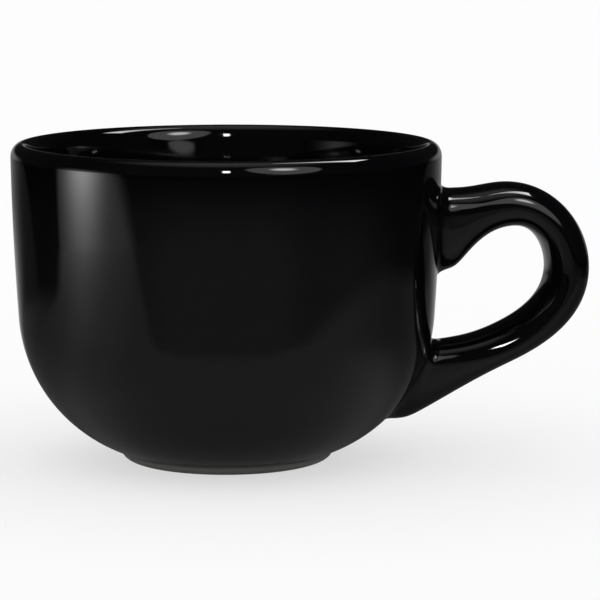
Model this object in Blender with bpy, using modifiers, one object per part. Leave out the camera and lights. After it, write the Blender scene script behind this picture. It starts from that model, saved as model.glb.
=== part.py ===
"""A latte cup of black glazed stoneware, in metres, +Z up, standing on z = 0.

The cup body is turned. Its strap handle is cast apart from it and stuck on with slip, which is
squeezed out into a small fillet round both ends of the handle. The handle points along +X, and the
origin is under the middle of the whole object, so the cup's own axis stands left of it.
"""

import math

import bmesh
import bpy
import numpy as np
from mathutils import Vector
from mathutils.geometry import interpolate_bezier

# Cup body, outside
RIM_DIAMETER = 0.1077  # widest, just under the lip
CUP_HEIGHT = 0.0802
LIP_OUTER_WIDTH = 0.0032  # from the lip's crest out to the wall
LIP_OUTER_HEIGHT = 0.0034
WALL_LEAN = math.radians(0.8)  # inward lean of the bowed wall, just under the lip
BELLY_LEAN = math.radians(3.75)  # and where it turns into the belly
BELLY_HEIGHT = 0.0364
FOOT_DIAMETER = 0.0532  # where the belly ends on the foot
FOOT_HEIGHT = 0.0024
HEEL_LEAN = 0.0030  # how far the foot narrows down to the table
HEEL_ROUND = 0.0012
HEEL_START = math.radians(-20)

# Cup body, inside and underneath
WALL = 0.0053  # across the lip
LIP_INNER_HEIGHT = 0.0048
INNER_LEAN = math.radians(5.5)  # the inside opens out towards the lip
INNER_BELLY_LEAN = math.radians(2.0)
INNER_BELLY_RADIUS = 0.0332
FLOOR = 0.0036  # thickness over the recess
FOOT_RING_WIDTH = 0.0042
RECESS_DEPTH = 0.0016
RECESS_SLOPE = 0.0012

# Handle loop: distances out from the rim, drops below the rim, heights above the table
HANDLE_WIDTH = 0.0178
ROOT_WIDTH = 0.0198  # the strap widens to this at both ends
STRAP = 0.0111  # thickness at the crown and the outermost point
LOWER_STRAP = 0.0101  # thickness at the lower arm
HANDLE_REACH = 0.0388
SHOULDER_DROP = 0.0325
CROWN_OUT = 0.0178
CROWN_DROP = 0.0109
CROWN_SHIFT = 0.0016  # the loop's inside is highest a little further out
UPPER_ROOT_DROP = 0.0125
UPPER_ROOT_LENGTH = 0.0209
WEB_OUT = 0.0044
WEB_DROP = 0.0124
WEB_LENGTH = 0.0197
WEB_SLOPE = math.radians(52)
ARM_OUT = 0.0187
ARM_HEIGHT = 0.0235
ARM_SLOPE = math.radians(24.5)
LOWER_ROOT_TOP = 0.0290
LOWER_ROOT_BOTTOM = 0.0097
TOE_OUT = 0.0073
TOE_SLOPE = math.radians(28)
ANKLE_OUT = 0.0050
ANKLE_RISE = 0.0006
ANKLE_SLOPE = math.radians(8)
SQUARENESS = 2.2  # 2 is an ellipse, more is a squarer strap

# Slip joints and fits
CLEARANCE = 0.0003
SLIP = 0.0008  # the layer between the handle's end and the wall
BEAD_WIDTH = 0.0018  # how far the fillet spreads on the wall
BEAD_RISE = 0.0016  # how far it climbs the strap
BEAD_EDGE = 0.0004
ROOT_SINK = 0.0040  # how deep the untrimmed handle reaches into the wall

# Fineness of the round stretches
TURN_STEPS = 64
LIP_STEPS = 5
WALL_STEPS = 3
BELLY_STEPS = 10
HEEL_STEPS = 3
SPAN_STEPS = 6
SECTION_STEPS = 20
BEAD_STEPS = 3
AXIS_MERGE = 0.00001

# How far a Bezier handle reaches along the chord to the next knot
SOFT = 0.38
TIGHT = 0.20

# Finish
GLAZE_BLACK = (0.006, 0.006, 0.007, 1)
GLAZE_ROUGHNESS = 0.08

RIM_RADIUS = RIM_DIAMETER / 2
CREST_RADIUS = RIM_RADIUS - LIP_OUTER_WIDTH
LIP_BASE = CUP_HEIGHT - LIP_OUTER_HEIGHT
HEEL_RADIUS = FOOT_DIAMETER / 2 - HEEL_LEAN
AXIS_X = -HANDLE_REACH / 2
ACROSS = Vector((0, 1, 0))
OUTERMOST_KNOT = 3  # of the handle's edges, counted from the upper root
OUTWARD = Vector((1, 0, 0))


def ellipse_arc(centre, radii, start, end, steps):
    """Points (radius, height) along an ellipse's arc, both ends included."""
    turns = np.linspace(start, end, steps + 1)
    return [(centre[0] + radii[0] * math.cos(a), centre[1] + radii[1] * math.sin(a)) for a in turns]


def bowed_wall(start, lean, end_lean, end_height):
    """Points down a wall whose inward lean goes evenly from one angle to another."""
    radius = (start[1] - end_height) / (math.sin(end_lean) - math.sin(lean))
    centre = (start[0] - radius * math.cos(lean), start[1] + radius * math.sin(lean))
    return ellipse_arc(centre, (radius, radius), -lean, -end_lean, WALL_STEPS)


def outer_profile():
    """The cup's outside, from the crest of the lip down to the foot's resting face."""
    # The lip's arc runs on until it leans like the wall
    lip_size = (LIP_OUTER_WIDTH, LIP_OUTER_HEIGHT)
    lip_end = -math.atan2(LIP_OUTER_HEIGHT * math.tan(WALL_LEAN), LIP_OUTER_WIDTH)
    lip = ellipse_arc((CREST_RADIUS, LIP_BASE), lip_size, math.pi / 2, lip_end, LIP_STEPS)
    wall = bowed_wall(lip[-1], WALL_LEAN, BELLY_LEAN, BELLY_HEIGHT)
    # The belly is the arc that leaves the wall smoothly and ends at the foot's upper corner
    turn = Vector(wall[-1])
    inward = Vector((-math.cos(BELLY_LEAN), math.sin(BELLY_LEAN)))
    corner = Vector((FOOT_DIAMETER / 2, FOOT_HEIGHT))
    chord = corner - turn
    radius = chord.length_squared / (2 * chord.dot(inward))
    centre = turn + inward * radius
    end = math.atan2(corner.y - centre.y, corner.x - centre.x)
    belly = ellipse_arc(centre, (radius, radius), -BELLY_LEAN, end, BELLY_STEPS)
    heel_size = (HEEL_ROUND, HEEL_ROUND)
    heel = ellipse_arc((HEEL_RADIUS, HEEL_ROUND), heel_size, HEEL_START, -math.pi / 2, HEEL_STEPS)
    return lip + wall[1:] + belly[1:] + heel


def inner_profile():
    """The cup's inside, from the middle of the floor up to just short of the lip's crest."""
    lip_size = (WALL - LIP_OUTER_WIDTH, LIP_INNER_HEIGHT)
    lip_base = math.pi - math.atan2(LIP_INNER_HEIGHT * math.tan(INNER_LEAN), lip_size[0])
    lip_centre = (CREST_RADIUS, CUP_HEIGHT - LIP_INNER_HEIGHT)
    lip = ellipse_arc(lip_centre, lip_size, lip_base, math.pi / 2, LIP_STEPS)
    floor_top = RECESS_DEPTH + FLOOR
    centre_height = floor_top + INNER_BELLY_RADIUS
    touch_height = centre_height - INNER_BELLY_RADIUS * math.sin(INNER_BELLY_LEAN)
    wall = bowed_wall(lip[0], INNER_LEAN, INNER_BELLY_LEAN, touch_height)
    centre = (wall[-1][0] - INNER_BELLY_RADIUS * math.cos(INNER_BELLY_LEAN), centre_height)
    belly_size = (INNER_BELLY_RADIUS, INNER_BELLY_RADIUS)
    belly = ellipse_arc(centre, belly_size, -math.pi / 2, -INNER_BELLY_LEAN, BELLY_STEPS)
    return [(0, floor_top)] + belly + wall[-2:0:-1] + lip[:-1]


def underside_profile():
    """The foot ring's inner side and the shallow recess under the floor."""
    ring_inside = HEEL_RADIUS - FOOT_RING_WIDTH
    return [(ring_inside, 0), (ring_inside - RECESS_SLOPE, RECESS_DEPTH), (0, RECESS_DEPTH)]


def wall_radius(height):
    """The radius of the cup's outside at a height below the lip."""
    radii, heights = np.array(outer_profile()[LIP_STEPS:]).T
    return float(np.interp(height, heights[::-1], radii[::-1]))


def grown_outside(growth):
    """The cup's outside as a solid profile, moved out by the growth along its own normals."""
    points = np.array(outer_profile())
    along = np.gradient(points, axis=0)
    normals = np.stack([-along[:, 1], along[:, 0]], axis=1)
    normals /= np.linalg.norm(normals, axis=1)[:, None]
    moved = [tuple(point) for point in points + normals * growth]
    return [(0, moved[0][1])] + moved + [(0, moved[-1][1])]


def glaze(name):
    """Glossy black glaze on fired clay."""
    material = bpy.data.materials.new(name)
    material.use_nodes = True
    shader = material.node_tree.nodes["Principled BSDF"]
    shader.inputs["Base Color"].default_value = GLAZE_BLACK
    shader.inputs["Roughness"].default_value = GLAZE_ROUGHNESS
    shader.inputs["Metallic"].default_value = 0
    return material


def add_object(name, mesh, collection, parent):
    """An object on the cup's axis."""
    obj = bpy.data.objects.new(name, mesh)
    obj.parent = parent
    collection.objects.link(obj)
    mesh.shade_smooth()
    return obj


def turned(name, profile, collection, parent):
    """A solid of revolution about the cup's axis."""
    mesh = bpy.data.meshes.new(name)
    points = [(radius, 0, height) for radius, height in profile]
    mesh.from_pydata(points, [(i, i + 1) for i in range(len(points) - 1)], [])
    obj = add_object(name, mesh, collection, parent)
    screw = obj.modifiers.new("turn", "SCREW")
    screw.axis = "Z"
    screw.angle = math.tau
    screw.steps = TURN_STEPS
    screw.render_steps = TURN_STEPS
    screw.use_merge_vertices = True
    screw.merge_threshold = AXIS_MERGE
    return obj


def lofted(name, rings, collection, parent):
    """A closed skin over a row of rings of equally many points."""
    build = bmesh.new()
    loops = [[build.verts.new(point) for point in ring] for ring in rings]
    for first, second in zip(loops, loops[1:]):
        for i in range(len(first)):
            build.faces.new((first[i - 1], first[i], second[i], second[i - 1]))
    build.faces.new(loops[0][::-1])
    build.faces.new(loops[-1])
    bmesh.ops.recalc_face_normals(build, faces=build.faces)
    mesh = bpy.data.meshes.new(name)
    build.to_mesh(mesh)
    build.free()
    return add_object(name, mesh, collection, parent)


def cut(obj, cutter):
    """Takes the cutter's space out of an object."""
    boolean = obj.modifiers.new(f"clear_of_{cutter.name}", "BOOLEAN")
    boolean.operation = "DIFFERENCE"
    boolean.object = cutter


def at(radius, height):
    """A point in the handle's upright plane."""
    return Vector((radius, 0, height))


def heading(angle):
    """A direction in the handle's upright plane, counted up from +X."""
    return Vector((math.cos(angle), 0, math.sin(angle)))


def smooth_edge(knots):
    """Points along a Bezier curve through knots of (point, direction, ease before, ease after)."""
    points = [knots[0][0]]
    for (start, leaving, _, ease_out), (end, arriving, ease_in, _) in zip(knots, knots[1:]):
        chord = (end - start).length
        near = start + leaving * chord * ease_out
        far = end - arriving * chord * ease_in
        points += interpolate_bezier(start, near, far, end, SPAN_STEPS + 1)[1:]
    return points


def root(height):
    """Where an edge of the handle ends, sunk into the wall so that it can be trimmed to it."""
    return at(wall_radius(height) - ROOT_SINK, height)


def handle_knots():
    """The strap's outer and inner edge as matching knots, from the upper root round to the lower."""
    upper_top = CUP_HEIGHT - UPPER_ROOT_DROP
    crown = at(RIM_RADIUS + CROWN_OUT, CUP_HEIGHT - CROWN_DROP)
    side = at(RIM_RADIUS + HANDLE_REACH, CUP_HEIGHT - SHOULDER_DROP)
    arm = at(RIM_RADIUS + ARM_OUT, ARM_HEIGHT)
    web = at(RIM_RADIUS + WEB_OUT, CUP_HEIGHT - WEB_DROP)
    toe = at(wall_radius(LOWER_ROOT_BOTTOM) + TOE_OUT, LOWER_ROOT_BOTTOM)
    ankle = at(wall_radius(LOWER_ROOT_TOP) + ANKLE_OUT, LOWER_ROOT_TOP + ANKLE_RISE)
    down = -Vector((0, 0, 1))
    arm_heading = -heading(ARM_SLOPE)
    arm_inside = Vector((arm_heading.z, 0, -arm_heading.x))
    outer = [
        (root(upper_top), OUTWARD, SOFT, SOFT),
        (web, OUTWARD, SOFT, SOFT),
        (crown, OUTWARD, SOFT, SOFT),
        (side, down, SOFT, SOFT),
        (arm, arm_heading, SOFT, SOFT),
        (toe, -heading(TOE_SLOPE), SOFT, TIGHT),
        (root(LOWER_ROOT_BOTTOM), -OUTWARD, TIGHT, SOFT),
    ]
    inner = [
        (root(upper_top - UPPER_ROOT_LENGTH), OUTWARD, SOFT, SOFT),
        (web - at(0, WEB_LENGTH), heading(WEB_SLOPE), TIGHT, SOFT),
        (crown + at(CROWN_SHIFT, -STRAP), OUTWARD, SOFT, SOFT),
        (side - at(STRAP, 0), down, SOFT, SOFT),
        (arm + arm_inside * LOWER_STRAP, arm_heading, SOFT, SOFT),
        (ankle, -heading(ANKLE_SLOPE), SOFT, SOFT),
        (root(LOWER_ROOT_TOP), -OUTWARD, SOFT, SOFT),
    ]
    return outer, inner


def wall_bow(outer, inner):
    """How far the wall bulges out between the two ends of a root."""
    middle = (outer + inner) / 2
    bulge = at(wall_radius(middle.z) - ROOT_SINK, middle.z) - middle
    square = (outer - inner).cross(ACROSS).normalized()
    return square * bulge.dot(square)


def ridge(outer, inner, knot):
    """The share of the way from the outer edge to the inner one at which the strap is widest.

    It is half a strap below the edge that is on top: the outer one on the upper arm, the inner one on
    the lower arm, which begins after the outermost knot."""
    thickness = (outer - inner).length
    upper, lower = STRAP / 2 / thickness, 1 - LOWER_STRAP / 2 / thickness
    return upper + (lower - upper) * min(max(knot - OUTERMOST_KNOT, 0), 1)


def section(outer, inner, knot, width, bow, growth):
    """A ring round the strap: a rounded oblong between its edges, bowed to follow the wall."""
    widest = ridge(outer, inner, knot)
    spread = (outer - inner).normalized() * growth
    wide = ACROSS * (width / 2 + growth)
    ring = []
    for step in range(SECTION_STEPS):
        turn = math.tau * step / SECTION_STEPS
        up, side = (math.copysign(abs(v) ** (2 / SQUARENESS), v) for v in (math.cos(turn), math.sin(turn)))
        share = widest - up * (widest if up > 0 else 1 - widest)
        place = outer.lerp(inner, share) + spread * up + wide * side
        ring.append(place + bow * 4 * share * (1 - share))
    return ring


def strap_rings(growth):
    """All the sections of the handle, from inside the wall at the top to inside it at the belly."""
    outer, inner = (smooth_edge(knots) for knots in handle_knots())
    upper_bow = wall_bow(outer[0], inner[0])
    lower_bow = wall_bow(outer[-1], inner[-1])
    last = len(outer) - 1
    rings = []
    for i, (out_point, in_point) in enumerate(zip(outer, inner)):
        near_upper = max(0, 1 - i / SPAN_STEPS)
        near_lower = max(0, 1 - (last - i) / SPAN_STEPS)
        width = HANDLE_WIDTH + (ROOT_WIDTH - HANDLE_WIDTH) * (near_upper + near_lower) ** 2
        bow = upper_bow * near_upper + lower_bow * near_lower
        rings.append(section(out_point, in_point, i / SPAN_STEPS, width, bow, growth))
    return rings


def bead_rings(end):
    """The slip round one end of the handle: a hollow fillet from the wall up to the strap."""
    outer_knots, inner_knots = handle_knots()
    outer, inner = outer_knots[end], inner_knots[end]
    knot = 0 if end == 0 else len(outer_knots) - 1
    bow = wall_bow(outer[0], inner[0])
    away_outer, away_inner = (knot[1] if end == 0 else -knot[1] for knot in (outer, inner))
    edge = CLEARANCE + BEAD_EDGE
    steps = [(0, BEAD_WIDTH)]
    for turn in np.linspace(0, math.pi / 2, BEAD_STEPS + 1):
        rise = edge + BEAD_RISE * (1 - math.cos(turn))
        spread = edge + (BEAD_WIDTH - edge) * (1 - math.sin(turn))
        steps.append((ROOT_SINK + rise, spread))
    rings = []
    for away, spread in steps:
        out_point = outer[0] + away_outer * away
        in_point = inner[0] + away_inner * away
        rings.append(section(out_point, in_point, knot, ROOT_WIDTH, bow, spread))
    return rings


def main():
    for obj in list(bpy.data.objects):
        bpy.data.objects.remove(obj)
    parts = bpy.data.collections.new("latte_cup")
    cutters = bpy.data.collections.new("cutters")
    for collection in (parts, cutters):
        bpy.context.scene.collection.children.link(collection)
    axis = bpy.data.objects.new("cup_axis", None)
    axis.location.x = AXIS_X
    parts.objects.link(axis)

    body_profile = inner_profile() + outer_profile() + underside_profile()
    cup_body = turned("cup_body", body_profile, parts, axis)
    handle = lofted("handle", strap_rings(0), parts, axis)
    upper_slip_joint = lofted("upper_slip_joint", bead_rings(0), parts, axis)
    lower_slip_joint = lofted("lower_slip_joint", bead_rings(-1), parts, axis)

    # The slip keeps clear of the wall, and the handle's ends of the slip
    slip_seat = turned("slip_seat", grown_outside(CLEARANCE), cutters, axis)
    slip_face = turned("slip_face", grown_outside(CLEARANCE + SLIP), cutters, axis)
    handle_seat = turned("handle_seat", grown_outside(2 * CLEARANCE + SLIP), cutters, axis)
    handle_socket = lofted("handle_socket", strap_rings(CLEARANCE), cutters, axis)
    cut(handle_socket, slip_face)
    cut(handle, handle_seat)
    for joint in (upper_slip_joint, lower_slip_joint):
        cut(joint, slip_seat)
        cut(joint, handle_socket)
    for cutter in cutters.objects:
        cutter.hide_render = True
        cutter.display_type = "WIRE"

    for obj in (cup_body, handle, upper_slip_joint, lower_slip_joint):
        obj.data.materials.append(glaze(f"black_glaze_on_{obj.name}"))


main()
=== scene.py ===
# %% [markdown]
# # A black glazed latte cup
# The measured model of the cup comes in as four faceted solids: the body, the handle, and the two beads
# of slip that hold the handle on. This lesson gives each one the smooth skin and the glossy glaze of the
# real cup. The first cell loads the solids and keeps the box round them, because the dressed cup must
# not outgrow it.

# %% Load the measured model
import math

import bpy
import numpy as np
from mathutils import Matrix, Vector
from mathutils.geometry import interpolate_bezier


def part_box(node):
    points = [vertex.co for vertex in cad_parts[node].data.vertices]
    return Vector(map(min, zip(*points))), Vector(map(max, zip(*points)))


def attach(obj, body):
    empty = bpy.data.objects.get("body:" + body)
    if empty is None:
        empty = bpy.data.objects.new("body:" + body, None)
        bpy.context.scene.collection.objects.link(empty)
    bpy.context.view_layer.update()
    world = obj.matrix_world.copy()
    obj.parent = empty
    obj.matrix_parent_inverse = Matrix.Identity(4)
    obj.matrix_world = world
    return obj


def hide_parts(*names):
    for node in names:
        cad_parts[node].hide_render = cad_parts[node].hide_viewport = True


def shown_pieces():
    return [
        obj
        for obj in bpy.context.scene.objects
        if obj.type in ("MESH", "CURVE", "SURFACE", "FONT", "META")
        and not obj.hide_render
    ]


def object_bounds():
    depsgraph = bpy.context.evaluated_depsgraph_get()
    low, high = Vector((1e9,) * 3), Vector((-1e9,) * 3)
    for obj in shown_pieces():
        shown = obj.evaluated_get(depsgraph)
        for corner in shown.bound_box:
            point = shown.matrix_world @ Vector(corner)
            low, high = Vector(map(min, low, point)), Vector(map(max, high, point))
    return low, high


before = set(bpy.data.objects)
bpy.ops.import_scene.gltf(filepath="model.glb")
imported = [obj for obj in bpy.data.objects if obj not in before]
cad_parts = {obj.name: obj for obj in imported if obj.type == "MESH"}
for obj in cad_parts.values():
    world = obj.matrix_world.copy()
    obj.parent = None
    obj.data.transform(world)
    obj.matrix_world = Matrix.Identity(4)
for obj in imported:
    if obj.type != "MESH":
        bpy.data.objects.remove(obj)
cad_low, cad_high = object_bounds()
MM = 0.001
print("solids:", sorted(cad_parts))
print("box in mm:", [round(side / MM, 1) for side in cad_high - cad_low])

# %% [markdown]
# ## The cup's own axis
# The body is a turned form, so everything on it is a distance from one upright axis. The model's origin
# lies under the middle of the whole object, handle included, so the axis stands a little to the left of
# it. The body's own box gives the axis, the rim's radius and the height.

# %% Find the axis, the rim and the height
body_low, body_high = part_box("cup_body")
AXIS = Vector(((body_low.x + body_high.x) / 2, 0, 0))
RIM_RADIUS = (body_high.y - body_low.y) / 2
CUP_HEIGHT = body_high.z
print(f"axis at x = {AXIS.x / MM:.1f} mm")
print(f"rim radius {RIM_RADIUS / MM:.1f} mm, height {CUP_HEIGHT / MM:.1f} mm")

# %% [markdown]
# ## The camera
# The cup was photographed with a long lens from a little above its rim, with the handle turned a few
# degrees away. The distances below are the ones at which the rim's ellipse, the foot and the height of
# the outline all agree with the picture. The camera is placed relative to the cup's axis, and then the
# whole set-up is turned about that axis instead of turning the cup.

# %% Place the camera
HANDLE_TURN = math.radians(6.2)  # the handle points this far away from the camera's sideways direction
CAMERA_BACK = 775.4 * MM
CAMERA_SIDE = 18.4 * MM
CAMERA_HEIGHT = 150.4 * MM
CAMERA_PITCH = math.radians(8.085)
LENS = 186.6  # millimetres on a 36 mm sensor

facing = Matrix.Rotation(-HANDLE_TURN, 4, "Z")


def in_view(side, back, height):
    """A place given as the camera sees it: right of the cup's axis, behind it, above the floor."""
    return AXIS + facing @ Vector((side, back, height))


camera_data = bpy.data.cameras.new("camera")
camera_data.lens = LENS
camera = bpy.data.objects.new("camera", camera_data)
camera.location = in_view(CAMERA_SIDE, -CAMERA_BACK, CAMERA_HEIGHT)
camera.rotation_euler = (math.pi / 2 - CAMERA_PITCH, 0, -HANDLE_TURN)
bpy.context.scene.collection.objects.link(camera)
bpy.context.scene.camera = camera
print("camera at", [round(c / MM) for c in camera.location], "mm")

# %% [markdown]
# ## Lines made of arcs
# A cup like this is shaped by a profile tool that scrapes the clay as it spins, so its outside is one
# drawn line. A line of that kind is best written as arcs, each leaving the last one in the direction it
# arrived, because a glossy glaze shows every kink as a jump in the reflections. Three helpers give the
# points along an arc, a straight stretch and a slightly bowed wall, each point as a radius and a height.

# %% Three helpers for an outline
def arc(centre, radii, start, end, steps):
    """Points (radius, height) along an ellipse's arc, both ends included."""
    turns = np.linspace(start, end, steps + 1)
    return np.stack([centre[0] + radii[0] * np.cos(turns), centre[1] + radii[1] * np.sin(turns)], axis=1)


def line(start, end, steps):
    """Points along a straight stretch, both ends left out."""
    shares = np.linspace(0, 1, steps + 1)[1:-1, None]
    return np.asarray(start) + (np.asarray(end) - np.asarray(start)) * shares


def bowed_wall(start, lean, end_lean, end_height, steps):
    """Points down a wall whose inward lean goes evenly from one angle to another."""
    radius = (start[1] - end_height) / (math.sin(end_lean) - math.sin(lean))
    centre = (start[0] - radius * math.cos(lean), start[1] + radius * math.sin(lean))
    return arc(centre, (radius, radius), -lean, -end_lean, steps)


print("a quarter circle in 4 steps has", len(arc((0, 0), (1, 1), 0, math.pi / 2, 4)), "points")

# %% [markdown]
# ## The outline of the body
# From the top down, the outside is a rounded lip, a wall that bows in a little, one round arc for the
# belly, and a small foot with a rounded heel. The belly's radius isn't given: it is the one arc that
# leaves the wall smoothly and still ends on the foot. The body's skin comes from turning this line about
# the axis, and the handle's ends are later trimmed to the same line.

# %% Draw the outside, from the lip's crest down to the foot
LIP_OUTER_WIDTH = 2.7 * MM  # from the lip's crest out to the wall
LIP_OUTER_HEIGHT = 3.4 * MM
WALL_LEAN = math.radians(0.8)  # inward lean just under the lip
BELLY_LEAN = math.radians(3.75)  # and where the wall turns into the belly
BELLY_HEIGHT = 36.4 * MM
FOOT_RADIUS = 27.1 * MM  # where the belly ends on the foot
FOOT_HEIGHT = 2.7 * MM
HEEL_RADIUS = 22.4 * MM  # where the heel's round runs out on the table
HEEL_WIDTH = 4.2 * MM
HEEL_HEIGHT = 2.2 * MM
HEEL_START = math.radians(-8)
LIP_STEPS, WALL_STEPS, BELLY_STEPS, CORNER_STEPS, HEEL_STEPS = 40, 40, 72, 4, 24
CREST_RADIUS = RIM_RADIUS - LIP_OUTER_WIDTH
LIP_BASE = CUP_HEIGHT - LIP_OUTER_HEIGHT

lip_end = -math.atan2(LIP_OUTER_HEIGHT * math.tan(WALL_LEAN), LIP_OUTER_WIDTH)
lip_size = (LIP_OUTER_WIDTH, LIP_OUTER_HEIGHT)
lip = arc((CREST_RADIUS, LIP_BASE), lip_size, math.pi / 2, lip_end, LIP_STEPS)
wall = bowed_wall(lip[-1], WALL_LEAN, BELLY_LEAN, BELLY_HEIGHT, WALL_STEPS)
turn = Vector(wall[-1])
inward = Vector((-math.cos(BELLY_LEAN), math.sin(BELLY_LEAN)))
chord = Vector((FOOT_RADIUS, FOOT_HEIGHT)) - turn
belly_radius = chord.length_squared / (2 * chord.dot(inward))
belly_centre = turn + inward * belly_radius
belly_end = math.atan2(FOOT_HEIGHT - belly_centre.y, FOOT_RADIUS - belly_centre.x)
belly = arc(belly_centre, (belly_radius, belly_radius), -BELLY_LEAN, belly_end, BELLY_STEPS)
heel_size = (HEEL_WIDTH, HEEL_HEIGHT)
heel = arc((HEEL_RADIUS, HEEL_HEIGHT), heel_size, HEEL_START, -math.pi / 2, HEEL_STEPS)
corner = line(belly[-1], heel[0], CORNER_STEPS)
outside = np.concatenate([lip, wall[1:], belly[1:], corner, heel])
print(f"belly radius {belly_radius / MM:.1f} mm, {len(outside)} points down the outside")

# %% [markdown]
# ## The inside and the foot
# The inside opens out a little towards the lip, so that the tool can be lifted out, and its belly runs
# out into a flat floor. Underneath, the cup stands on a narrow ring round a shallow recess, which keeps
# the floor off the table in the kiln and in use.

# %% Draw the inside and the underside
WALL = 5.3 * MM  # across the lip
LIP_INNER_HEIGHT = 4.4 * MM
INNER_LEAN = math.radians(5.5)
INNER_BELLY_LEAN = math.radians(2)
INNER_BELLY_RADIUS = 33.2 * MM
FLOOR = 3.6 * MM  # thickness over the recess
FOOT_RING_WIDTH = 3.0 * MM
RECESS_DEPTH = 1.6 * MM
RECESS_SLOPE = 1.2 * MM
FLAT_STEPS = 6

inner_lip_size = (WALL - LIP_OUTER_WIDTH, LIP_INNER_HEIGHT)
inner_lip_start = math.pi - math.atan2(LIP_INNER_HEIGHT * math.tan(INNER_LEAN), inner_lip_size[0])
inner_lip = arc((CREST_RADIUS, CUP_HEIGHT - LIP_INNER_HEIGHT), inner_lip_size,
                inner_lip_start, math.pi / 2, LIP_STEPS)
floor_top = RECESS_DEPTH + FLOOR
bowl_height = floor_top + INNER_BELLY_RADIUS
touch_height = bowl_height - INNER_BELLY_RADIUS * math.sin(INNER_BELLY_LEAN)
inner_wall = bowed_wall(inner_lip[0], INNER_LEAN, INNER_BELLY_LEAN, touch_height, WALL_STEPS)
bowl_centre = (inner_wall[-1][0] - INNER_BELLY_RADIUS * math.cos(INNER_BELLY_LEAN), bowl_height)
bowl_size = (INNER_BELLY_RADIUS, INNER_BELLY_RADIUS)
bowl = arc(bowl_centre, bowl_size, -math.pi / 2, -INNER_BELLY_LEAN, BELLY_STEPS)
floor_line = line((0, floor_top), bowl[0], FLAT_STEPS)
inside = np.concatenate([floor_line, bowl, inner_wall[-2:0:-1], inner_lip[:-1]])

ring_inside = HEEL_RADIUS - FOOT_RING_WIDTH
recess_edge = ring_inside - RECESS_SLOPE
ring_face = line(heel[-1], (ring_inside, 0), FLAT_STEPS)
recess_wall = np.array([(ring_inside, 0), (recess_edge, RECESS_DEPTH)])
recess = line((recess_edge, RECESS_DEPTH), (0, RECESS_DEPTH), FLAT_STEPS)
outline = np.concatenate([inside, outside, ring_face, recess_wall, recess])
print(f"wall {WALL / MM:.1f} mm, {len(outline)} points round the whole section")

# %% [markdown]
# ## Pieces of the cup
# Each smooth piece stands for one of the measured solids, so it says which one and which body of the model
# it rides on. All the pieces are rings of points one after another, so one helper can lay the faces
# between them.

# %% Two helpers for every piece
def add_piece(name, points, faces, node):
    """A smooth mesh piece that stands for one of the measured solids."""
    mesh = bpy.data.meshes.new(name)
    mesh.from_pydata([tuple(point) for point in points], [], faces)
    mesh.shade_smooth()
    piece = bpy.data.objects.new(name, mesh)
    piece.location = AXIS
    bpy.context.scene.collection.objects.link(piece)
    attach(piece, "root")
    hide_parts(node)
    print(f"{name}: {len(mesh.vertices)} points, {len(mesh.polygons)} faces, stands for {node}")
    return piece


def grid_faces(rows, columns, wrap_rows=False):
    """Quads over a grid of points whose every row is a closed ring."""
    quads = []
    for row in range(rows if wrap_rows else rows - 1):
        below = (row + 1) % rows
        for column in range(columns):
            beside = (column + 1) % columns
            quads.append((row * columns + column, below * columns + column,
                          below * columns + beside, row * columns + beside))
    return quads


print("two rings of six points hold", len(grid_faces(2, 6)), "faces")

# %% [markdown]
# ## Turning the outline
# Blender's Screw modifier turns an outline, and so does a short loop. The loop is used here because it
# lets the foot's resting ring have a finish of its own: the faces come in the order of the outline, so
# the ring's faces can be counted off. The first and last points close on the axis.

# %% Turn the body
TURN_STEPS = 192
HEEL_BARE_STEPS = 6  # how far the glaze is wiped up the heel, in steps of its round

angles = np.arange(TURN_STEPS) * math.tau / TURN_STEPS
circle = np.stack([np.cos(angles), np.sin(angles)], axis=1)
rings = np.concatenate(
    [np.append(radius * circle, np.full((TURN_STEPS, 1), height), axis=1) for radius, height in outline])
body_faces = grid_faces(len(outline), TURN_STEPS)
top_middle, foot_middle = len(rings), len(rings) + 1
last_ring = len(rings) - TURN_STEPS
for step in range(TURN_STEPS):
    beside = (step + 1) % TURN_STEPS
    body_faces.append((top_middle, step, beside))
    body_faces.append((foot_middle, last_ring + beside, last_ring + step))
middles = [(0, 0, floor_top), (0, 0, RECESS_DEPTH)]
ring_start = len(inside) + len(outside) - HEEL_BARE_STEPS
ring_end = len(inside) + len(outside) + len(ring_face) + 1
ring_faces = range(ring_start * TURN_STEPS, ring_end * TURN_STEPS)
body = add_piece("cup_body_glazed", np.concatenate([rings, middles]), body_faces, "cup_body")

# %% [markdown]
# ## The measures of the handle
# The handle is cast in a mould of its own, as a strap bent into an ear. Its measures come from the
# photograph's outline: distances out from the rim or the wall, drops below the rim, heights above the
# table, and slopes in degrees. From the wall round to the wall again, the strap passes the web over the
# upper root, the crown, the outermost point, the lower arm, and the toe and ankle of the lower root.

# %% Note the handle's measures
REACH_TRIM = 0.35 * MM  # how much less far the dressed strap reaches than the solid
HANDLE_REACH = cad_high.x - AXIS.x - RIM_RADIUS - REACH_TRIM
STRAP = 11.1 * MM  # thickness at the crown and at the outermost point
LOWER_STRAP = 10.1 * MM  # and at the lower arm
UPPER_TOP = CUP_HEIGHT - 12.3 * MM
UPPER_ROOT_LENGTH = 20.9 * MM
WEB_OUT, WEB_DROP, WEB_LENGTH, WEB_SLOPE = 4.4 * MM, 12.2 * MM, 19.7 * MM, 52
CROWN_OUT, CROWN_DROP = 17.6 * MM, 10.7 * MM
CROWN_SHIFT = 1.6 * MM  # the loop's inside is highest a little further out
OUTERMOST_DROP = 32.5 * MM
ARM_OUT, ARM_HEIGHT, ARM_SLOPE = 18.7 * MM, 23.9 * MM, 24.5
TOE_OUT, TOE_SLOPE = 7.3 * MM, 28
ANKLE_OUT, ANKLE_RISE, ANKLE_SLOPE = 5.0 * MM, 0.6 * MM, 8
LOWER_TOP = 29.0 * MM
LOWER_BOTTOM = 9.7 * MM
ROOT_SINK = 4.0 * MM  # how deep the strap runs into the wall before it is trimmed
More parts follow.
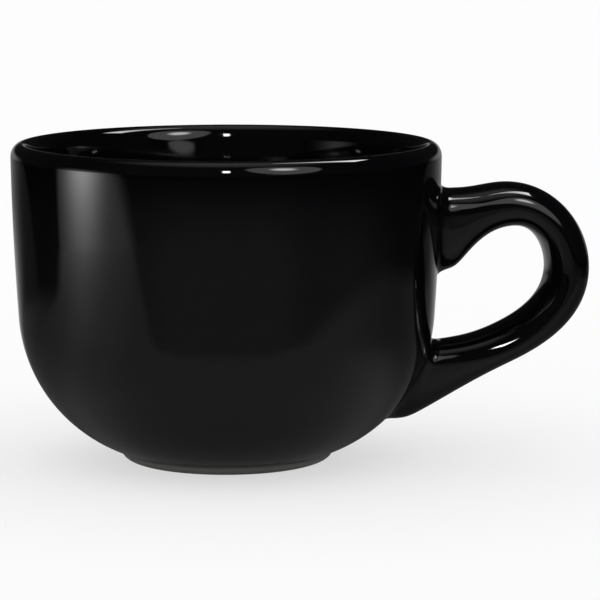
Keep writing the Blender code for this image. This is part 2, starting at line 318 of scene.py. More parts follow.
print(f"the handle reaches {HANDLE_REACH / MM:.1f} mm past the rim")

# %% [markdown]
# ## The knots of the handle
# The strap is drawn by two lines in the upright plane through the axis: its outer edge and its inner
# edge. Both are Bezier curves through matching knots. A knot is a point, the direction in which the line
# passes it, and how far the line keeps to that direction before and after it.

# %% Place the knots of the handle's two edges
SOFT = 0.38  # the share of a span that gives a round, even bend
TIGHT = 0.20  # and one that turns sooner

below_lip = outside[len(lip) - 1:][::-1]


def wall_radius(height):
    """The outside's radius at a height below the lip."""
    return np.interp(height, below_lip[:, 1], below_lip[:, 0])


def at(radius, height):
    """A point in the handle's upright plane."""
    return Vector((radius, 0, height))


def heading(degrees):
    """A direction in that plane, counted up from outward."""
    return Vector((math.cos(math.radians(degrees)), 0, math.sin(math.radians(degrees))))


def root(height):
    """Where an edge of the strap ends, inside the wall."""
    return at(wall_radius(height) - ROOT_SINK, height)


out, down = heading(0), heading(-90)
web = at(RIM_RADIUS + WEB_OUT, CUP_HEIGHT - WEB_DROP)
crown = at(RIM_RADIUS + CROWN_OUT, CUP_HEIGHT - CROWN_DROP)
outermost = at(RIM_RADIUS + HANDLE_REACH, CUP_HEIGHT - OUTERMOST_DROP)
arm = at(RIM_RADIUS + ARM_OUT, ARM_HEIGHT)
toe = at(wall_radius(LOWER_BOTTOM) + TOE_OUT, LOWER_BOTTOM)
ankle = at(wall_radius(LOWER_TOP) + ANKLE_OUT, LOWER_TOP + ANKLE_RISE)
along_arm = -heading(ARM_SLOPE)
across_arm = Vector((along_arm.z, 0, -along_arm.x))
outer_knots = [
    (root(UPPER_TOP), out, SOFT, SOFT),
    (web, out, SOFT, SOFT),
    (crown, out, SOFT, SOFT),
    (outermost, down, SOFT, SOFT),
    (arm, along_arm, SOFT, SOFT),
    (toe, -heading(TOE_SLOPE), SOFT, TIGHT),
    (root(LOWER_BOTTOM), -out, TIGHT, SOFT),
]
inner_knots = [
    (root(UPPER_TOP - UPPER_ROOT_LENGTH), out, SOFT, SOFT),
    (web - at(0, WEB_LENGTH), heading(WEB_SLOPE), TIGHT, SOFT),
    (crown + at(CROWN_SHIFT, -STRAP), out, SOFT, SOFT),
    (outermost - at(STRAP, 0), down, SOFT, SOFT),
    (arm + across_arm * LOWER_STRAP, along_arm, SOFT, SOFT),
    (ankle, -heading(ANKLE_SLOPE), SOFT, SOFT),
    (root(LOWER_TOP), -out, SOFT, SOFT),
]
print(f"{len(outer_knots)} knots on the outer edge, {len(inner_knots)} on the inner one")

# %% [markdown]
# ## The strap's two edges
# A Bezier curve leaves and reaches each knot along the direction given there. The points along it are then
# spaced evenly and averaged over a few millimetres, as a fettling sponge would do to the clay, because a
# glossy surface shows every change of bend. A Blender curve object could carry the same knots, but the
# section has to follow two edges at once.

# %% Run smooth edges through the knots
SPAN_STEPS = 48
ROW_SPACING = 0.4 * MM
EDGE_SOFTENING = 1.6 * MM
SOFTENING_ROWS = 12  # how many rows to each side are averaged


def edge(knots):
    """Points along a Bezier curve through knots of (point, direction, ease before, ease after)."""
    points = [knots[0][0]]
    for (start, leaving, _, ease_out), (end, arriving, ease_in, _) in zip(knots, knots[1:]):
        reach = (end - start).length
        near, far = start + leaving * reach * ease_out, end - arriving * reach * ease_in
        points += interpolate_bezier(start, near, far, end, SPAN_STEPS + 1)[1:]
    return np.array(points)


def lengths(points):
    """How far along a line of points each one lies."""
    return np.concatenate([[0], np.cumsum(np.linalg.norm(np.diff(points, axis=0), axis=1))])


def sampled(places, at_places, values):
    """Values known at some places along a line, read at others."""
    return np.stack([np.interp(places, at_places, column) for column in values.T], axis=1)


def softened(points, weights):
    """The line averaged over a few millimetres of its length."""
    padded = np.pad(points, ((SOFTENING_ROWS, SOFTENING_ROWS), (0, 0)), mode="edge")
    return np.stack([np.convolve(column, weights, mode="valid") for column in padded.T], axis=1)


outer_edge, inner_edge = edge(outer_knots), edge(inner_knots)
middle_places = lengths((outer_edge + inner_edge) / 2)
row_places = np.linspace(0, middle_places[-1], int(middle_places[-1] / ROW_SPACING))
knot_counts = np.linspace(0, len(outer_knots) - 1, len(middle_places))
spans = np.interp(row_places, middle_places, knot_counts)  # each row's place, counted in knots
offsets = np.arange(-SOFTENING_ROWS, SOFTENING_ROWS + 1) * ROW_SPACING
weights = np.exp(-0.5 * (offsets / EDGE_SOFTENING) ** 2)
weights /= weights.sum()
outer_edge, inner_edge = (
    softened(sampled(row_places, middle_places, points), weights) for points in (outer_edge, inner_edge))
print(f"{len(row_places)} rows along {middle_places[-1] / MM:.0f} mm of strap")

# %% [markdown]
# ## The strap's section
# A moulded strap is neither a round rod nor a flat band. A superellipse gives the rounded oblong between
# the two: its power is 2 for an ellipse, and more makes the sides flatter. The photograph's highlights
# keep one distance from the upper edge of each arm, however deep the strap gets below them. So the strap
# is widest at a fixed distance below the edge that is on top, which is the outer edge on the upper arm
# and the inner edge on the lower one. It spreads at its two ends, and its lower arm is a little narrower.

# %% Ring the strap with its sections
HANDLE_WIDTH = 17.8 * MM
ROOT_WIDTH = 19.8 * MM
UPPER_RIDGE = STRAP / 2  # how far below the upper arm's upper edge it is widest
LOWER_RIDGE = 6.2 * MM  # and the same for the lower arm
LOWER_TAPER = 1.4 * MM  # how much narrower the lower arm gets
TAPER_START, TAPER_END = 3.2, 5  # counted in knots along the strap
OUTERMOST_KNOT = 3
SQUARENESS = 2.2
SECTION_STEPS = 80


def fade(value, start, end):
    """0 up to the start, 1 from the end on, and smooth in between."""
    share = np.clip((value - start) / (end - start), 0, 1)
    return share * share * (3 - 2 * share)


turns = np.arange(SECTION_STEPS) * math.tau / SECTION_STEPS
bulge = (np.abs(np.cos(turns)) ** SQUARENESS + np.abs(np.sin(turns)) ** SQUARENESS) ** (-1 / SQUARENESS)
upward, sideways = np.cos(turns) * bulge, np.sin(turns) * bulge
last_span = len(outer_knots) - 1
near_root = np.clip(1 - spans, 0, 1) + np.clip(1 - (last_span - spans), 0, 1)
widths = HANDLE_WIDTH + (ROOT_WIDTH - HANDLE_WIDTH) * near_root ** 2
widths = widths - LOWER_TAPER * fade(spans, TAPER_START, TAPER_END)
thickness = np.linalg.norm(outer_edge - inner_edge, axis=1)
on_upper, on_lower = UPPER_RIDGE / thickness, 1 - LOWER_RIDGE / thickness
lower_share = fade(spans, OUTERMOST_KNOT, OUTERMOST_KNOT + 1)
widest = (on_upper + (on_lower - on_upper) * lower_share)[:, None]
shares = widest - upward * np.where(upward > 0, widest, 1 - widest)
strap = outer_edge[:, None] + (inner_edge - outer_edge)[:, None] * shares[:, :, None]
strap[:, :, 1] += widths[:, None] / 2 * sideways
print(f"strap {widths.min() / MM:.1f} to {widths.max() / MM:.1f} mm wide")

# %% [markdown]
# ## Trimming the strap to the wall
# Before the handle is stuck on, its ends are cut to the curve of the cup. Here every lengthwise line of
# the strap is followed to the place where it meets the wall, and the skin is drawn only between the two
# places. A Boolean cut would do it too, but would leave ragged faces along the seam, which gloss shows.

# %% Trim and skin the handle
HANDLE_ROWS = 220
SEAT = 0.3 * MM  # how far the trimmed ends sit inside the wall's skin


def outside_wall(points):
    """How far points lie outside the body's skin, measured level."""
    return np.hypot(points[:, 0], points[:, 1]) - wall_radius(points[:, 2])


def crossing(points, gaps, before, after):
    """The place between two neighbouring points where the gap is nil."""
    share = gaps[before] / (gaps[before] - gaps[after])
    return points[before] + (points[after] - points[before]) * share


strap_lines = []
for column in range(SECTION_STEPS):
    points = strap[:, column]
    gaps = outside_wall(points) + SEAT
    half = len(points) // 2
    first = np.nonzero(gaps[:half] < 0)[0][-1]
    last = half + np.nonzero(gaps[half:] < 0)[0][0]
    start = crossing(points, gaps, first, first + 1)
    end = crossing(points, gaps, last, last - 1)
    kept = np.concatenate([[start], points[first + 1:last], [end]])
    places = lengths(kept)
    strap_lines.append(sampled(np.linspace(0, places[-1], HANDLE_ROWS), places, kept))
skin = np.stack(strap_lines, axis=1)
handle_faces = grid_faces(HANDLE_ROWS, SECTION_STEPS)
handle_faces.append(tuple(range(SECTION_STEPS)))
handle_faces.append(tuple(range((HANDLE_ROWS - 1) * SECTION_STEPS, HANDLE_ROWS * SECTION_STEPS))[::-1])
add_piece("handle_glazed", skin.reshape(-1, 3), handle_faces, "handle")

# %% [markdown]
# ## Directions on the wall
# The fillets that come next have to lie in the body's skin where they start. Three helpers are enough for
# that: one brings arrows to one length, one moves points onto the wall, and one gives the wall's outward
# direction, from the slope of the outline.

# %% Three helpers for the wall
SLOPE_STEP = 0.05 * MM  # the slope is read this far above and below a point


def unit(vectors):
    """Arrows brought to the length 1."""
    return vectors / np.linalg.norm(vectors, axis=-1, keepdims=True)


def on_wall(points):
    """Points moved level onto the body's skin."""
    moved = points.copy()
    moved[:, :2] *= (wall_radius(points[:, 2]) / np.hypot(points[:, 0], points[:, 1]))[:, None]
    return moved


def wall_normals(points):
    """The body's outward direction at points on its skin."""
    rise = wall_radius(points[:, 2] + SLOPE_STEP) - wall_radius(points[:, 2] - SLOPE_STEP)
    slope = rise / (2 * SLOPE_STEP)
    normals = points * (1, 1, 0)
    return unit(unit(normals) - slope[:, None] * np.array((0, 0, 1)))


print("outward beside the handle's upper end:", wall_normals(np.array([root(UPPER_TOP)])).round(3))

# %% [markdown]
# ## The beads of slip
# The handle is stuck on with slip, clay thinned to a cream. The slip that is squeezed out is wiped into a
# small hollow fillet, and the glaze runs over body, fillet and handle alike. A light that crosses the
# seam must not jump, so the fillet leaves the wall along the wall and reaches the strap along the strap:
# each rib of it is a Bezier curve whose ends lie in the two skins.

# %% Fill both seams
FILLET_SPREAD = 2.4 * MM  # how far it spreads on the wall
FILLET_RISE = 3.2 * MM  # and along the strap
FILLET_STEPS = 14
FILLET_FULLNESS = 0.6
FILLET_LIFT = 0.01 * MM  # keeps its edge just above the wall's skin
FILLET_DEPTH = 0.7 * MM  # how far it is closed behind the seam
SEAM_ROWS = 12  # the seam lies within these first rows of the strap's skin
LEAD = 0.3 * MM  # a short way further along the strap, which gives its direction


def fillet(lines):
    """Rings of points from the wall to the strap, for the lengthwise lines that start at the wall."""
    seams, rises, leads = [], [], []
    for points in lines:
        places = lengths(points)
        start = np.interp(0, outside_wall(points)[:SEAM_ROWS], places[:SEAM_ROWS])
        along = start + np.array((0, FILLET_RISE, FILLET_RISE + LEAD))
        seam, rise, beyond = sampled(along, places, points)
        seams.append(seam)
        rises.append(rise)
        leads.append(rise - beyond)
    seams, rises, leads = np.array(seams), np.array(rises), unit(np.array(leads))
    along = unit(np.roll(seams, -1, axis=0) - np.roll(seams, 1, axis=0))
    away = np.cross(along, wall_normals(seams))
    away *= np.sign(np.sum(away * (seams - seams.mean(axis=0)), axis=1))[:, None]
    feet = on_wall(seams + unit(away) * FILLET_SPREAD)
    normals = wall_normals(feet)
    towards = seams - feet
    towards = unit(towards - normals * np.sum(towards * normals, axis=1)[:, None])
    feet = feet + normals * FILLET_LIFT
    near = feet + towards * FILLET_SPREAD * FILLET_FULLNESS
    far = rises + leads * FILLET_RISE * FILLET_FULLNESS
    rows = []
    for share in (1 - np.cos(np.linspace(0, math.pi, FILLET_STEPS + 1))) / 2:
        rest = 1 - share
        rows.append(feet * rest ** 3 + near * 3 * share * rest ** 2
                    + far * 3 * share ** 2 * rest + rises * share ** 3)
    rows.append(seams - wall_normals(seams) * FILLET_DEPTH)
    return np.array(rows)


for name, node, lines in (
    ("upper_slip_fillet", "upper_slip_joint", skin.transpose(1, 0, 2)),
    # The lower end runs towards the wall. It is turned round both ways, so that its faces look outwards.
    ("lower_slip_fillet", "lower_slip_joint", skin[::-1, ::-1].transpose(1, 0, 2)),
):
    rows = fillet(lines)
    faces = grid_faces(len(rows), SECTION_STEPS, wrap_rows=True)
    add_piece(name, rows.reshape(-1, 3), faces, node)

# %% [markdown]
# ## Colours and nodes
# Colours are written as the hex values that a paint program shows. Blender reckons with light, so one
# function turns them into linear amounts. A second one adds a node to a material: it sets the node's
# choices and fills its inputs, either with a value or with another node's output. A third one starts a
# new material.

# %% Three helpers for every material
def linear(hex_colour):
    """An sRGB hex colour as linear red, green, blue and alpha."""
    shares = [int(hex_colour[place:place + 2], 16) / 255 for place in (1, 3, 5)]
    return [s / 12.92 if s <= 0.04045 else ((s + 0.055) / 1.055) ** 2.4 for s in shares] + [1]


def add_node(tree, kind, inputs=None, **choices):
    """A new node with its choices set and its inputs filled or linked."""
    node = tree.nodes.new(kind)
    for name, choice in choices.items():
        setattr(node, name, choice)
    for name, value in (inputs or {}).items():
        if isinstance(value, bpy.types.NodeSocket):
            tree.links.new(value, node.inputs[name])
        else:
            node.inputs[name].default_value = value
    return node


def new_material(name):
    """An empty material, and its Principled shader."""
    material = bpy.data.materials.new(name)
    material.use_nodes = True
    return material, material.node_tree, material.node_tree.nodes["Principled BSDF"]


WHITE = linear("#ffffff")
print("black glaze in linear light:", [round(c, 4) for c in linear("#040405")])

# %% [markdown]
# ## The black glaze
# The cup is dipped in a glaze of glass coloured black with iron and manganese, which melts level in the
# kiln. What the eye gets is a deep black with a mirror over it: glass reflects only a twenty-fifth of
# the light face on, but much more at a glancing angle, which is why the edges of the cup look lighter.
# The melt isn't quite even. It pulls into faint waves a centimetre or so long, and its black is a little
# browner or bluer from place to place. Round the heel it is sponged thin, and the grey clay shows through.

# %% Make the glaze
GLAZE_WAVE = 12 * MM  # length of the faint waves
GLAZE_SWELL = 0.012 * MM  # and their height
GLAZE_CLOUD = 5 * MM  # size of the browner and bluer places
GLAZE_ROUGHNESS = (0.03, 0.06)
GLAZE_IOR = 1.5  # glass
THIN_BELOW = 3.3 * MM  # the sponge reached up to here
THINNEST = 1.8 * MM  # and took off the most below this

glaze, tree, shader = new_material("black_stoneware_glaze_fired_gloss")
place = add_node(tree, "ShaderNodeTexCoord").outputs["Object"]
cloud = add_node(tree, "ShaderNodeTexNoise", {"Vector": place, "Scale": 1 / GLAZE_CLOUD, "Detail": 3})
tone = add_node(tree, "ShaderNodeValToRGB", {"Fac": cloud.outputs["Fac"]})
tone.color_ramp.elements[0].color = linear("#040304")
tone.color_ramp.elements[1].color = linear("#050507")
gloss = add_node(tree, "ShaderNodeMapRange", {
    "Value": cloud.outputs["Fac"], "From Min": 0.3, "From Max": 0.7,
    "To Min": GLAZE_ROUGHNESS[0], "To Max": GLAZE_ROUGHNESS[1]})
wave = add_node(tree, "ShaderNodeTexNoise", {"Vector": place, "Scale": 1 / GLAZE_WAVE, "Detail": 1})
swell = add_node(tree, "ShaderNodeBump", {
    "Height": wave.outputs["Fac"], "Distance": GLAZE_SWELL, "Strength": 1})
sponged = np.zeros(len(outline))
sponged[len(inside):len(inside) + len(outside)] = 1 - fade(outside[:, 1], THINNEST, THIN_BELOW)
sponged = np.append(np.repeat(sponged, TURN_STEPS), [0, 0]).astype(np.float32)
body.data.attributes.new("sponged", "FLOAT", "POINT").data.foreach_set("value", sponged)
thin = add_node(tree, "ShaderNodeAttribute", attribute_name="sponged").outputs["Fac"]
# A Mix node has several sockets of one name, so they go by number: 0 is the share, and 6 and 7 are the
# two colours.
colour = add_node(tree, "ShaderNodeMix", {
    0: thin, 6: tone.outputs["Color"], 7: linear("#6b6a68")}, data_type="RGBA")
tree.links.new(colour.outputs[2], shader.inputs["Base Color"])
tree.links.new(gloss.outputs["Result"], shader.inputs["Roughness"])
tree.links.new(swell.outputs["Normal"], shader.inputs["Normal"])
shader.inputs["IOR"].default_value = GLAZE_IOR
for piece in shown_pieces():
    piece.data.materials.append(glaze)

# %% [markdown]
# ## The bare ring
# Glaze would stick the cup to the kiln shelf, so it is wiped off the ring that the cup stands on. The bare
# stoneware there is a warm buff, dry and slightly gritty: fine grains of about half a millimetre, some
# darker with iron, that catch no shine. Only the ring's own faces get it, as the mesh's second material.

# %% Bare the foot's resting ring
CLAY_GRAIN = 0.5 * MM
CLAY_GRIT = 0.05 * MM  # how far the grains stand out
CLAY_SPECK = 2.2 * MM
CLAY_ROUGHNESS = 0.85

clay, tree, shader = new_material("buff_stoneware_fired_bare")
place = add_node(tree, "ShaderNodeTexCoord").outputs["Object"]
grain = add_node(tree, "ShaderNodeTexNoise", {"Vector": place, "Scale": 1 / CLAY_GRAIN, "Detail": 2})
speck = add_node(tree, "ShaderNodeTexNoise", {"Vector": place, "Scale": 1 / CLAY_SPECK, "Detail": 4})
tone = add_node(tree, "ShaderNodeValToRGB", {"Fac": speck.outputs["Fac"]})
for stop, position, hex_colour in zip(tone.color_ramp.elements, (0.3, 0.6), ("#8d7558", "#b9a183")):
    stop.position = position
    stop.color = linear(hex_colour)
grit = add_node(tree, "ShaderNodeBump", {
    "Height": grain.outputs["Fac"], "Distance": CLAY_GRIT, "Strength": 1})
tree.links.new(tone.outputs["Color"], shader.inputs["Base Color"])
tree.links.new(grit.outputs["Normal"], shader.inputs["Normal"])
shader.inputs["Roughness"].default_value = CLAY_ROUGHNESS
body.data.materials.append(clay)
for face in ring_faces:
    body.data.polygons[face].material_index = 1
print(f"{len(ring_faces)} bare faces on the ring")

# %% [markdown]
# ## The floor and the daylight
# The cup stands on a plain white floor under an even white sky, so a colour shows as it is written. The
# floor is matt paint, wide enough to fill the picture. The photograph's ground is pure white, so part of
# what the camera and the glaze see of the floor is replaced by plain white, through the Light Path node.
# The rest keeps the soft shadow under the cup.

# %% Lay the floor and set the sky
FLOOR_REACH = 6.0
FLOOR_DROP = 0.05 * MM  # so that the ring's face and the floor don't share a plane
SHADOW_RELIEF = 0.6  # how much of the shadow under the cup is filled with white

floor_mesh = bpy.data.meshes.new("floor")
corners = [(x * FLOOR_REACH, y * FLOOR_REACH, 0) for x, y in ((-1, -1), (1, -1), (1, 1), (-1, 1))]
floor_mesh.from_pydata(corners, [], [(0, 1, 2, 3)])
floor = bpy.data.objects.new("floor", floor_mesh)
floor.location.z = -FLOOR_DROP
bpy.context.scene.collection.objects.link(floor)
paint, tree, shader = new_material("matt_white_paint")
shader.inputs["Base Color"].default_value = linear("#fafafa")
shader.inputs["Roughness"].default_value = 1
shader.inputs["Specular IOR Level"].default_value = 0
floor_mesh.materials.append(paint)
ray = add_node(tree, "ShaderNodeLightPath")
seen = ray.outputs["Is Camera Ray"]
for kind in ("Is Glossy Ray", "Is Transmission Ray"):
    either = add_node(tree, "ShaderNodeMath", {0: seen, 1: ray.outputs[kind]}, operation="MAXIMUM")
    seen = either.outputs["Value"]
relief = add_node(tree, "ShaderNodeMath", {0: seen, 1: SHADOW_RELIEF}, operation="MULTIPLY")
white = add_node(tree, "ShaderNodeEmission", {"Color": WHITE, "Strength": 1})
mixed = add_node(tree, "ShaderNodeMixShader", {
    0: relief.outputs["Value"], 1: shader.outputs["BSDF"], 2: white.outputs["Emission"]})
tree.links.new(mixed.outputs["Shader"], tree.nodes["Material Output"].inputs["Surface"])
world = bpy.data.worlds.new("white_sky")
world.use_nodes = True
world.node_tree.nodes["Background"].inputs["Color"].default_value = WHITE
world.node_tree.nodes["Background"].inputs["Strength"].default_value = 1
bpy.context.scene.world = world
bpy.context.scene.view_settings.view_transform = "Standard"
print("floor", 2 * FLOOR_REACH, "m wide")

# %% [markdown]
# ## The studio in the glaze
# A black glossy cup has no look of its own: it shows the room. The room of the photograph was dark, with
# a grey table, a low lamp on the left, a softbox on the right, a small lamp behind the camera and a panel
# right above the cup. The room is built here as sheets that glow, each with its strength written at its
# points, so that the light and shade on its table, walls and ceiling are painted into that glow, and only
# reflections can see them. So the cup mirrors a dark studio and still stands in even light. An area lamp
# would be the usual way, but it would light the floor and the cup as well.

# %% Make the sheets that only the glaze sees
def around(azimuth, distance, height):
    """A place round the cup: degrees from the camera's side towards the right, metres out, metres up."""
    turn = math.radians(azimuth)
    return in_view(distance * math.sin(turn), -distance * math.cos(turn), height)


glow, tree, shader = new_material("lamp_and_painted_light_glow")
glow.cycles.emission_sampling = "NONE"
tree.nodes.remove(shader)
strength = add_node(tree, "ShaderNodeAttribute", attribute_name="glow").outputs["Fac"]
lamp = add_node(tree, "ShaderNodeEmission", {"Color": WHITE, "Strength": strength})
tree.links.new(lamp.outputs["Emission"], tree.nodes["Material Output"].inputs["Surface"])


def mirrored(name, rows, columns, place, strength):
    """A sheet over rows and columns, with a place and a glow for each, seen only in reflections."""
    points = [place(row, column) for row in rows for column in columns]
    width = len(columns)
    faces = [(r * width + c, r * width + c + 1, (r + 1) * width + c + 1, (r + 1) * width + c)
             for r in range(len(rows) - 1) for c in range(width - 1)]
    mesh = bpy.data.meshes.new(name)
    mesh.from_pydata(points, [], faces)
    values = np.broadcast_to(strength(rows[:, None], columns), (len(rows), width)).ravel()
    mesh.attributes.new("glow", "FLOAT", "POINT").data.foreach_set("value", values.astype(np.float32))
    mesh.materials.append(glow)
    sheet = bpy.data.objects.new(name, mesh)
    bpy.context.scene.collection.objects.link(sheet)
    sheet.visible_camera = sheet.visible_diffuse = sheet.visible_shadow = False
    sheet.visible_transmission = sheet.visible_volume_scatter = False
    print(f"{name}: {len(faces)} faces, glow {values.min():.2f} to {values.max():.2f}")


print("sheets will glow with", glow.name)

# %% [markdown]
# ## The dark room
# The room's walls are almost black, with a little painted light on the camera's side, apart from the low
# pale backdrop behind the cup, which lights the edges of the cup and of its lip. The ceiling has painted
# light right above the cup. In these formulas and the next ones, azimuths are in degrees, 0 is the
# camera's side, and distances and heights are in metres.

# %% Put up the walls and the ceiling
ROOM = 1.25  # distance of the walls
CEILING = 1.6
DARK = 0.012  # glow of an unlit wall
BEHIND_CAMERA_PAINTED_LIGHT = 0.02
BACKDROP_GLOW = 0.3
BACKDROP_EDGES = (132, 150)  # azimuths between which it starts, on both sides
BACKDROP_TOPS = (0.11, 0.21)  # heights between which it ends
CEILING_PAINTED_LIGHT, CEILING_DARK = 0.5, 0.02
turns_round = np.linspace(-180, 180, 361)


def wall_glow(height, azimuth):
    """Almost black, with a little painted light on the camera's side, and the low backdrop opposite."""
    away = abs(azimuth)
    backdrop = BACKDROP_GLOW * fade(away, *BACKDROP_EDGES) * (1 - fade(height, *BACKDROP_TOPS))
    return DARK + BEHIND_CAMERA_PAINTED_LIGHT * (1 - fade(away, 40, 90)) + backdrop


def ceiling_painted_light(distance, azimuth):
    """Painted light above the cup, fading to dark towards the walls."""
    # painted light: the ceiling glows brighter right above the cup
    return CEILING_DARK + CEILING_PAINTED_LIGHT * (1 - fade(distance, 0.17, 1.15))


mirrored("room_wall", np.linspace(0, CEILING, 161), turns_round,
         lambda height, azimuth: around(azimuth, ROOM, height), wall_glow)
mirrored("room_ceiling_painted_light", np.linspace(0, ROOM, 16), turns_round,
         lambda distance, azimuth: around(azimuth, distance, CEILING), ceiling_painted_light)

# %% [markdown]
# ## The grey table
# The table ends a hand's breadth in front of the cup and reaches further at its sides. Its glow has a
# painted pool of light on the left, where the low lamp stands on it, and painted shade that makes it
# darkest right under the cup and dimmer towards its sides.

# %% Set the table
TABLE_HEIGHT = 0.3 * MM  # just above the floor
TABLE_FRONT = 0.128  # how far out the table's front edge is
TABLE_GLOW = 0.235
FRONT_GLOW = 0.157  # the ground in front of the table
LAMP_OUT = 0.36  # how far out the low lamp stands
LAMP_LEFT = -94.5  # the azimuth of its left edge


def bump(value, middle, spread):
    """1 in the middle, falling off to both sides."""
    return np.exp(-0.5 * ((value - middle) / spread) ** 2)


def table_edge(azimuth):
    """How far out the table ends: close in front of the cup, further at its sides."""
    away = abs(azimuth)
    sideways = TABLE_FRONT + 0.0026 * np.maximum(away - 20, 0)
    before_lamp = sideways + 0.0005 * np.maximum(away - 28, 0) ** 2
    left = np.where(azimuth < LAMP_LEFT, 0.26, before_lamp)
    return np.where(azimuth < 0, left, np.minimum(sideways, 0.3))


def painted_lamp_pool(distance, azimuth):
    """A painted pool of the low lamp's light on the table: a bright core, a wide shoulder, and nothing
    behind the lamp.
    """
    nearness = np.minimum(distance, LAMP_OUT) - LAMP_OUT
    pool = 0.9 * np.exp(nearness / 0.09) * bump(azimuth, -74.5, 8)
    pool = pool + 0.22 * np.exp(nearness / 0.15) * (1 - fade(azimuth, -58, -38))
    pool = pool * fade(azimuth, LAMP_LEFT - 22 * (1 - fade(distance, 0.2, 0.28)), LAMP_LEFT + 5)
    return pool * (1 - fade(distance, LAMP_OUT, LAMP_OUT + 0.03))


def table_glow(distance, azimuth):
    """The table, the ground in front, painted light behind, and painted shade at the cup's foot."""
    away, end = abs(azimuth), table_edge(azimuth)
    soft = 0.02 + 0.1 * np.clip(end - TABLE_FRONT, 0, 0.17)
    on_table = 1 - fade(distance, end - soft, end + soft)
    # painted light: a brighter patch on the table beside the handle
    painted_light_beside_handle = 0.1 * bump(azimuth, 73, 12) * bump(distance, 0.085, 0.03)
    # painted shade: the table's glow falls off towards both sides
    table = TABLE_GLOW - 0.15 * fade(away, 50, 102) + painted_light_beside_handle
    # painted shade: the ground in front fades to dark further out and towards the sides
    front = FRONT_GLOW * (1 - fade(distance, 0.28, 0.68)) * (1 - 0.35 * fade(away, 20, 45))
    front = front * (1 - 0.85 * fade(away, 60, 105))
    # painted light: the ground behind the cup glows brighter
    behind = 0.036 + (0.46 - 0.25 * fade(distance, 0.3, 0.6)) * fade(away, 130, 165)
    behind = behind * fade(away - 100 - 40 * distance, 0, 3)
    # painted shade: the table's glow is dimmed close round the cup's foot
    painted_contact_shade = 0.35 + 0.65 * fade(distance, 0.02, 0.065)
    ground = np.maximum(front + (table - front) * on_table, behind)
    return (ground + painted_lamp_pool(distance, azimuth)) * painted_contact_shade


mirrored("room_table_painted_light", np.linspace(0, ROOM, 251), turns_round,
         lambda distance, azimuth: around(azimuth, distance, TABLE_HEIGHT), table_glow)

# %% [markdown]
# ## The low lamp
# The lamp on the left is a lit panel whose foot is on the table. It gives the cup its broad upright
# highlight, which is brightest under the lip because the panel gets brighter with height. Its right edge
# leans outwards, so each row of the sheet ends where the lamp does.

# %% Stand the low lamp on the left
LAMP_FOOT, LAMP_TOP = 0.4 * MM, 0.14
LAMP_CORE = 4.5  # glow of the bright middle
LAMP_SHOULDER = 0.4  # and of the panel beside it
LAMP_HAZE = 0.08


def lamp_edge(height):
    """The azimuth of the lamp's right edge at a height."""
    return -41.5 - 200 * np.minimum(height, 0.04)


def lamp_azimuth(height, share):
    """The azimuth at a share of the way from the lamp's left edge to its right one."""
    return LAMP_LEFT + share * (lamp_edge(height) - LAMP_LEFT)


def low_lamp_glow(height, share):
    """A core that brightens with height, the panel beside it, and a haze at its foot."""
    azimuth, right = lamp_azimuth(height, share), lamp_edge(height)
    core = LAMP_CORE * np.exp((np.minimum(height, 0.037) - 0.037) / 0.024) * bump(azimuth, -74, 7.2)
    shoulder = LAMP_SHOULDER * (1 - 0.5 * fade(height, 0.028, 0.045))
    shoulder = shoulder * (0.65 + 0.35 * fade(azimuth, -90, -80)) * (1 - fade(azimuth, right - 9, right))
    top = 1 - 0.88 * fade(height, 0.045, 0.085) - 0.12 * fade(height, 0.1, 0.14)
    haze = LAMP_HAZE * (1 - fade(height, 0.02, 0.05)) * fade(azimuth, -92, -86)
    return haze + (core + shoulder) * top * fade(azimuth, LAMP_LEFT, LAMP_LEFT + 4)


mirrored("low_lamp", np.linspace(LAMP_FOOT, LAMP_TOP, 71), np.linspace(0, 1, 111),
         lambda height, share: around(lamp_azimuth(height, share), LAMP_OUT, height), low_lamp_glow)

# %% [markdown]
# ## The hanging lamps
# The softbox stands far off on the right, a dim panel with a bright middle and a dim strip at its foot. A
# small lamp hangs behind the camera, and a panel right above the cup, brighter at its outer end. They put
# the sparkle on the lip, and the panel above draws the thin line along the top of the handle.

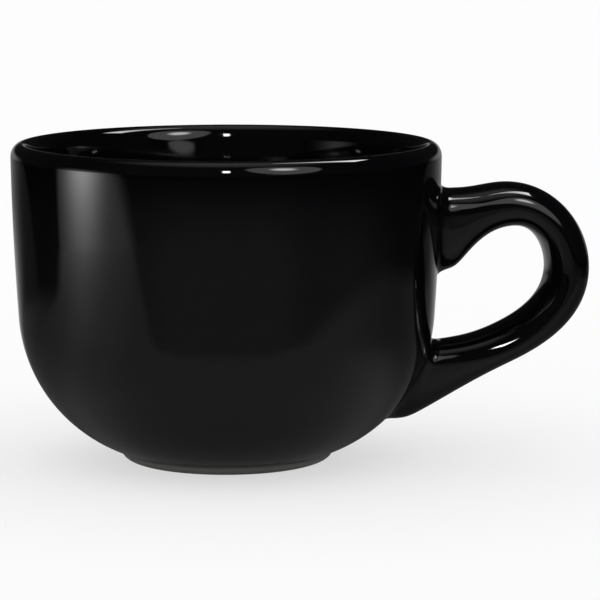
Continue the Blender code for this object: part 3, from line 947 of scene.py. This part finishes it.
# %% Hang the lamps
PANEL_STEPS = 60
SMALL_LAMP_GLOW = 40
SOFTBOX_GLOW, SOFTBOX_MIDDLE_GLOW = 1.2, 9
SOFTBOX_MIDDLE_UP, SOFTBOX_MIDDLE_SIZE = 0.25, 0.42  # in halves of its height and width
SOFTBOX_FOOT_GLOW = 1.1
ABOVE_GLOW, ABOVE_RISE = 8, 5  # in its middle, and how much more at its outer end
ABOVE_DARK = 0.02


def panel(name, centre, width, height, strength):
    """A panel that faces the cup's rim, with its glow given for places from -1 to 1 up and across."""
    facing_cup = (AXIS + Vector((0, 0, CUP_HEIGHT)) - centre).normalized()
    across = Vector((0, 0, 1)).cross(facing_cup).normalized()
    upward = facing_cup.cross(across)
    places = np.linspace(-1, 1, PANEL_STEPS + 1)
    mirrored(name, places, places,
             lambda up, along: centre + upward * up * height / 2 + across * along * width / 2, strength)


def softbox_glow(up, along):
    """A diffuser with round corners and a soft edge, and a bright middle a little above its centre."""
    roundness = np.where(up < 0, 2, 2.6)
    radius = (abs(up) ** roundness + abs(along) ** roundness) ** (1 / roundness)
    from_middle = np.hypot((up - SOFTBOX_MIDDLE_UP) / SOFTBOX_MIDDLE_SIZE, along / SOFTBOX_MIDDLE_SIZE)
    disc = SOFTBOX_GLOW * (1 - fade(radius, 0.9, 1))
    middle = SOFTBOX_MIDDLE_GLOW * (1 - fade(from_middle, 0.4, 1))
    return np.maximum(disc + middle, DARK)


def softbox_foot_glow(up, along):
    """A dim strip with round ends."""
    return DARK + SOFTBOX_FOOT_GLOW * (1 - fade(np.hypot(up, along), 0.7, 1))


def above_glow(up, along):
    """Brighter and wider towards the outer end, which is the lower one here."""
    half_width = 0.7 - 0.3 * up
    return ABOVE_DARK + (ABOVE_GLOW - ABOVE_RISE * up) * (1 - fade(abs(along) / half_width, 0.8, 1))


panel("small_lamp", in_view(side=0.025, back=-1.15, height=0.633), width=0.075, height=0.27,
      strength=lambda up, along: SMALL_LAMP_GLOW)
panel("softbox", in_view(side=0.49, back=-0.723, height=0.57), width=0.68, height=0.92,
      strength=softbox_glow)
panel("softbox_foot", in_view(side=0.42, back=-0.732, height=0.157), width=0.29, height=0.026,
      strength=softbox_foot_glow)
panel("lamp_above", in_view(side=0.12, back=0.03, height=0.315), width=0.08, height=0.14,
      strength=above_glow)
